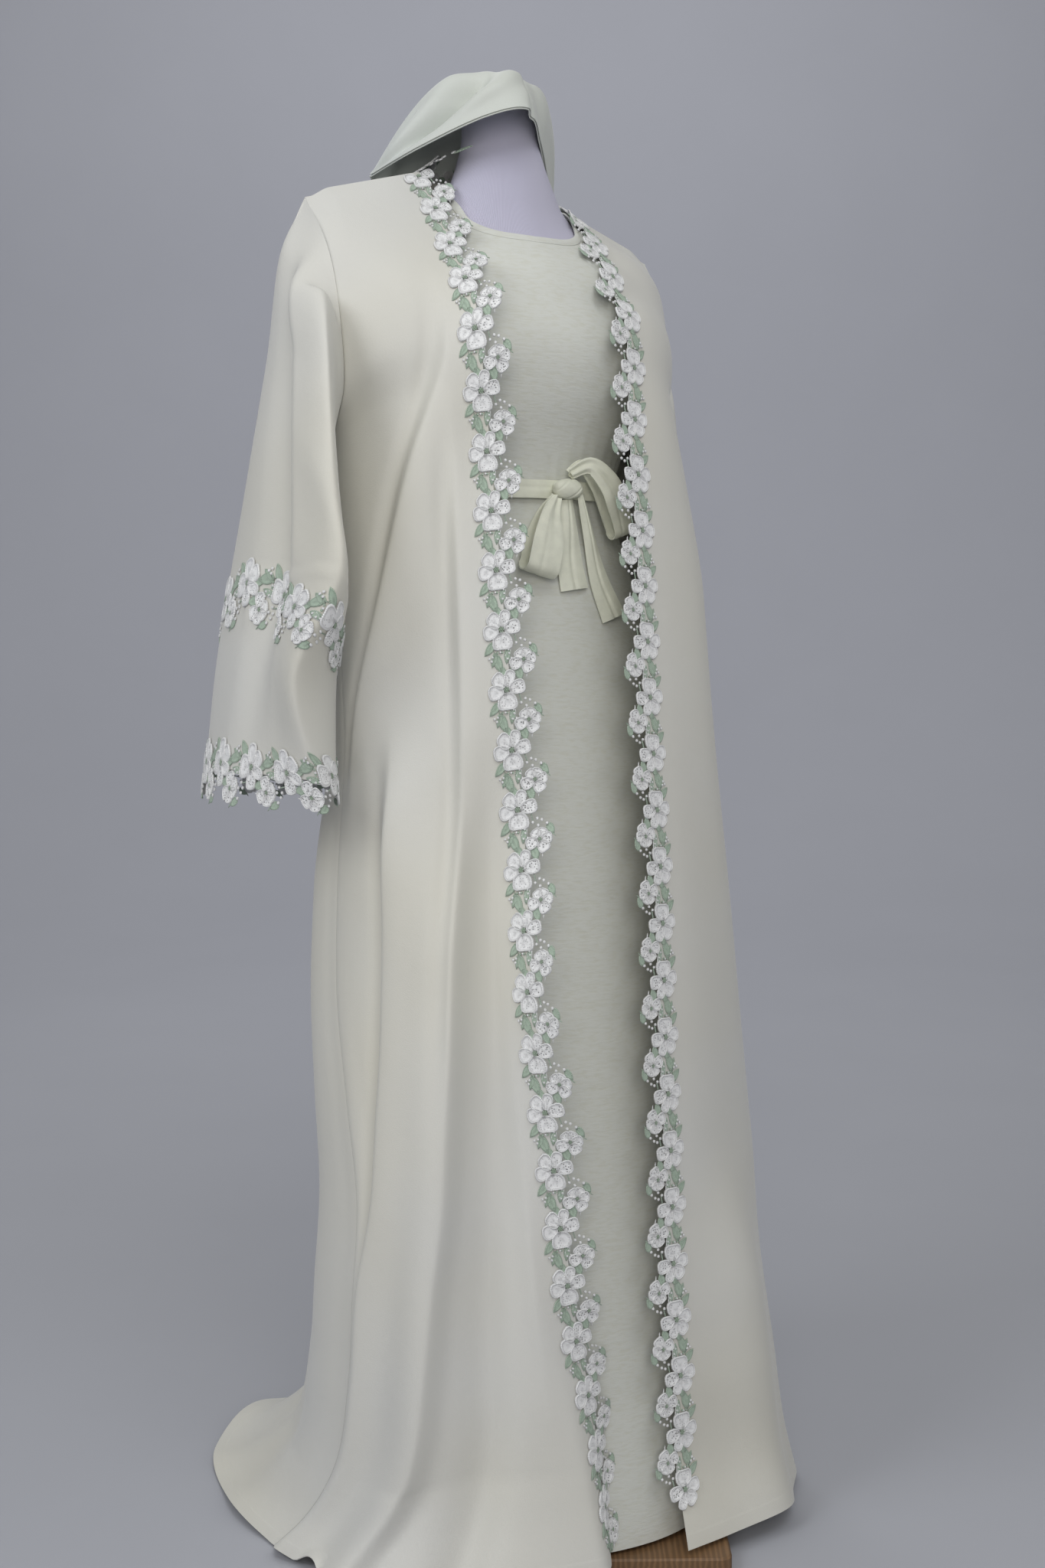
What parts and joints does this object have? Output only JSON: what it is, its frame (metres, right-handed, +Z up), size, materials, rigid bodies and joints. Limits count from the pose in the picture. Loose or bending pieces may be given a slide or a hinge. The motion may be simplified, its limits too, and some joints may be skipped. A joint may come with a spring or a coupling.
{
  "type": "abaya set on a dress form",
  "caption": "Open-front abaya edged with flower lace, belted inner dress and draped head scarf, shown on a limbless dress form with a square stand.",
  "frame": {"origin": "middle of the underside of the stand's square plate, on the floor", "axes": "+Z up, -Y the way the set faces, so -X is the wearer's right"},
  "size_m": [0.7148, 0.6727, 1.6164],
  "materials": {
    "abaya_crepe": "smooth satin-backed crepe, soft sheen",
    "shayla_crepe": "the abaya's cloth, a little thinner",
    "dress_crepe": "matt crinkle crepe",
    "belt_satin": "dull satin",
    "flower_lace": "matt embroidered guipure with sage leaves",
    "form_jersey": "fine ribbed jersey",
    "stand_steel": "satin paint",
    "stand_wood": "oiled board"
  },
  "bodies": {
    "root": {"form_body": "form_jersey", "stand_pole": "stand_steel", "stand_plate": "stand_wood", "dress_front": "dress_crepe", "dress_back": "dress_crepe", "dress_neck_binding": "dress_crepe", "belt_band": "belt_satin", "bow_knot": "belt_satin", "bow_loop_right": "belt_satin", "bow_loop_left": "belt_satin", "bow_tail_right": "belt_satin", "bow_tail_left": "belt_satin", "abaya_back": "abaya_crepe", "abaya_front_right": "abaya_crepe", "abaya_front_left": "abaya_crepe", "sleeve_right": "abaya_crepe", "sleeve_left": "abaya_crepe", "lace_front_right": "flower_lace", "lace_front_left": "flower_lace", "lace_neck": "flower_lace", "lace_band_right_front": "flower_lace", "lace_band_right_back": "flower_lace", "lace_band_left_front": "flower_lace", "lace_band_left_back": "flower_lace", "lace_cuff_right_front": "flower_lace", "lace_cuff_right_back": "flower_lace", "lace_cuff_left_front": "flower_lace", "lace_cuff_left_back": "flower_lace", "shayla_crown": "shayla_crepe", "shayla_hem_band": "shayla_crepe", "shayla_fall_right": "shayla_crepe", "shayla_fall_left": "shayla_crepe"}
  },
  "joints": []
}
